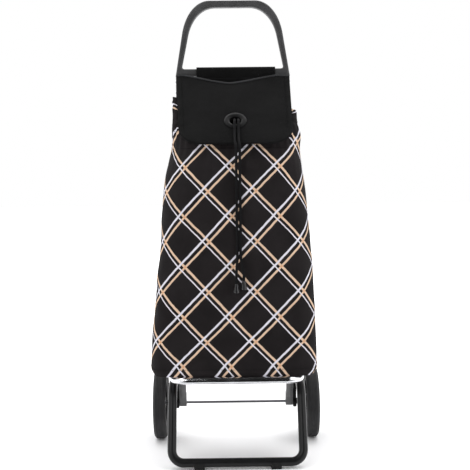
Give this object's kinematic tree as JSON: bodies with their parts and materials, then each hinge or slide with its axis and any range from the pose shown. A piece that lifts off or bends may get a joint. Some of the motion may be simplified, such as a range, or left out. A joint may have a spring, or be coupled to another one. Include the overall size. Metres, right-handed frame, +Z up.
{
  "type": "shopping trolley on wheels",
  "caption": "Upright shopping trolley: a tall drawstring bag with a flap on a folding tube frame with an arched handle, rear wheels and a front stand.",
  "frame": {"origin": "on the floor, under the middle of the object's box", "axes": "+Z up, -Y to the front where the stand is, X along the axle"},
  "size_m": [0.3858, 0.3474, 1.0205],
  "materials": {
    "handle_plastic": "satin dark grey moulding",
    "black_paint": "satin black",
    "polished_aluminium": "polished",
    "grey_plastic": "mid grey moulding",
    "black_plastic": "black moulding",
    "dark_steel": "dark zinc",
    "tyre_rubber": "matte black foam rubber",
    "foot_rubber": "matte black",
    "bag_fabric": "black woven polyester with a white and sand diagonal check",
    "black_fabric": "matte black woven polyester",
    "piping": "grey binding",
    "board_plastic": "black",
    "cord_fabric": "black braid",
    "cord_tip": "glossy black"
  },
  "bodies": {
    "frame": {"handle_arch": "handle_plastic", "left_side_tube": "black_paint", "right_side_tube": "black_paint", "left_lower_handle_rivet": "polished_aluminium", "right_lower_handle_rivet": "polished_aluminium", "left_upper_handle_rivet": "polished_aluminium", "right_upper_handle_rivet": "polished_aluminium", "left_axle_bracket": "grey_plastic", "right_axle_bracket": "grey_plastic", "left_pivot_pin": "dark_steel", "right_pivot_pin": "dark_steel", "left_axle_clip": "dark_steel", "right_axle_clip": "dark_steel", "left_axle_boss": "black_plastic", "right_axle_boss": "black_plastic", "left_axle_spacer": "black_plastic", "right_axle_spacer": "black_plastic", "axle_rod": "dark_steel", "bag_base_board": "board_plastic", "bag_shell": "bag_fabric", "drawstring_channel": "black_fabric", "hanging_sleeve": "black_fabric", "drawcord_left": "cord_fabric", "cord_tip_left": "cord_tip", "drawcord_right": "cord_fabric", "cord_tip_right": "cord_tip"},
    "left_wheel": {"left_tyre": "tyre_rubber", "left_rim": "black_plastic", "left_hub_bushing": "grey_plastic", "left_hub_cap": "black_plastic"},
    "right_wheel": {"right_tyre": "tyre_rubber", "right_rim": "black_plastic", "right_hub_bushing": "grey_plastic", "right_hub_cap": "black_plastic"},
    "base": {"platform_loop": "polished_aluminium", "stand_loop": "black_paint", "left_base_knuckle": "black_plastic", "right_base_knuckle": "black_plastic", "left_foot": "foot_rubber", "right_foot": "foot_rubber"},
    "flap": {"flap_panel": "black_fabric", "flap_piping": "piping", "eyelet_ring": "black_plastic", "eyelet_washer": "black_plastic"}
  },
  "joints": [
    {"name": "left_wheel_spin", "type": "hinge", "parent": "frame", "child": "left_wheel", "pos_m": [-0.1765, 0.09125, 0.0825], "axis": [1, 0, 0], "continuous": true},
    {"name": "right_wheel_spin", "type": "hinge", "parent": "frame", "child": "right_wheel", "pos_m": [0.1765, 0.09125, 0.0825], "axis": [1, 0, 0], "continuous": true},
    {"name": "base_fold", "type": "hinge", "parent": "frame", "child": "base", "pos_m": [0, 0.03925, 0.17], "axis": [-1, 0, 0], "range_deg": [0, 80], "deforming": ["bag_shell"]},
    {"name": "flap_lift", "type": "hinge", "parent": "frame", "child": "flap", "pos_m": [0, 0.05925, 0.8463], "axis": [-1, 0, 0], "range_deg": [0, 120], "deforming": ["drawcord_left", "drawcord_right"]}
  ]
}
